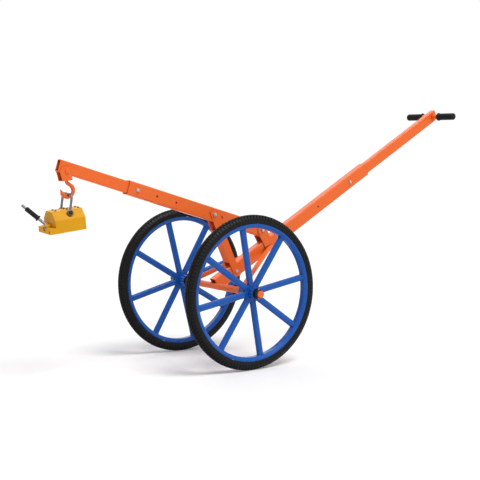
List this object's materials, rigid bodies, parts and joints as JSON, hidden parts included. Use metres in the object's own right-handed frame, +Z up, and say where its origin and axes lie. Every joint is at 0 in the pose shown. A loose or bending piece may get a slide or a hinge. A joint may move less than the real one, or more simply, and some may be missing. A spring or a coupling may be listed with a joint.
{
  "type": "manhole cover lifter",
  "caption": "Two-wheeled trolley for lifting manhole covers: telescoping boom with a swinging hook and a lever-switched lifting magnet, balanced by a telescoping T handle.",
  "frame": {"origin": "on the ground under the middle of the axle", "axes": "+X from the axle towards the T handle, +Y along the axle to the far wheel, +Z up"},
  "size_m": [2.244, 0.689, 1.1237],
  "materials": {
    "frame_paint": "smooth bright orange enamel",
    "wheel_paint": "semi-gloss mid blue paint",
    "tyre_rubber": "matt black tread rubber",
    "grip_rubber": "matt black ribbed grip rubber",
    "zinc_steel": "bright zinc plate",
    "dark_steel": "blackened steel",
    "magnet_paint": "yellow enamel on a casting",
    "rotor_steel": "turned steel",
    "cap_plastic": "black plastic plug"
  },
  "bodies": {
    "frame": {"axle": "frame_paint", "axle_shoulders": "dark_steel", "axle_collars": "dark_steel", "axle_cotters": "zinc_steel", "handle_outer_tube": "frame_paint", "brace_near": "frame_paint", "brace_far": "frame_paint", "ear_near": "frame_paint", "ear_far": "frame_paint", "support_post": "frame_paint", "boom_outer_tube": "frame_paint", "frame_bolts": "zinc_steel", "frame_nuts": "zinc_steel", "frame_washers": "zinc_steel", "boom_lock_bolt": "zinc_steel", "boom_lock_nut": "zinc_steel", "handle_lock_bolt": "zinc_steel", "handle_lock_nut": "zinc_steel", "lock_washers": "zinc_steel"},
    "wheel_near": {"tyre_near": "tyre_rubber", "rim_near": "wheel_paint", "spokes_near": "wheel_paint", "hub_near": "wheel_paint", "bearing_near_outer": "dark_steel", "bearing_near_inner": "dark_steel"},
    "wheel_far": {"tyre_far": "tyre_rubber", "rim_far": "wheel_paint", "spokes_far": "wheel_paint", "hub_far": "wheel_paint", "bearing_far_outer": "dark_steel", "bearing_far_inner": "dark_steel"},
    "boom_slide": {"boom_inner_tube": "frame_paint", "hanger_pin": "frame_paint"},
    "hanger": {"hanger_bracket": "frame_paint"},
    "hook_swivel": {"hook": "frame_paint", "hook_nut": "zinc_steel", "hook_washer": "zinc_steel"},
    "shackle_bow": {"shackle": "dark_steel"},
    "magnet": {"magnet_base": "magnet_paint", "magnet_housing": "magnet_paint", "magnet_front_cover": "magnet_paint", "magnet_rear_cover": "magnet_paint", "magnet_roof_screws": "dark_steel", "base_screws": "dark_steel", "shackle_pins": "dark_steel"},
    "lever": {"magnet_rotor": "rotor_steel", "lever_hub": "magnet_paint", "lever_bolt": "zinc_steel", "lever_rod": "zinc_steel", "lever_grip": "grip_rubber"},
    "handle_slide": {"handle_inner_tube": "frame_paint", "handle_end_cap": "cap_plastic", "tee_bar": "frame_paint", "grip_near": "grip_rubber", "grip_far": "grip_rubber"}
  },
  "joints": [
    {"name": "wheel_near_spin", "type": "hinge", "parent": "frame", "child": "wheel_near", "pos_m": [0, -0.275, 0.33], "axis": [0, 1, 0], "continuous": true},
    {"name": "wheel_far_spin", "type": "hinge", "parent": "frame", "child": "wheel_far", "pos_m": [0, 0.275, 0.33], "axis": [0, 1, 0], "continuous": true},
    {"name": "boom_extend", "type": "slide", "parent": "frame", "child": "boom_slide", "axis": [-0.9568, 0, 0.2907], "range_m": [0, 0.2]},
    {"name": "hanger_swing", "type": "hinge", "parent": "boom_slide", "child": "hanger", "pos_m": [-0.72313, 0, 0.84712], "axis": [0, 1, 0], "range_deg": [-15, 25]},
    {"name": "hook_turn", "type": "hinge", "parent": "hanger", "child": "hook_swivel", "pos_m": [-0.71424, 0, 0.76912], "axis": [-0.1132, 0, 0.9936], "continuous": true},
    {"name": "shackle_swing", "type": "hinge", "parent": "hook_swivel", "child": "shackle_bow", "pos_m": [-0.71424, 0, 0.74362], "axis": [1, 0, 0], "range_deg": [-20, 14]},
    {"name": "magnet_pitch", "type": "hinge", "parent": "shackle_bow", "child": "magnet", "pos_m": [-0.72228, 0.00399, 0.68652], "axis": [0, 0.9976, 0.0698], "range_deg": [-8, 30]},
    {"name": "lever_turn", "type": "hinge", "parent": "magnet", "child": "lever", "pos_m": [-0.78848, 0.00813, 0.62729], "axis": [0.9936, -0.0079, 0.1129], "range_deg": [0, 78]},
    {"name": "handle_extend", "type": "slide", "parent": "frame", "child": "handle_slide", "axis": [0.8695, 0, 0.4939], "range_m": [0, 0.18]}
  ]
}
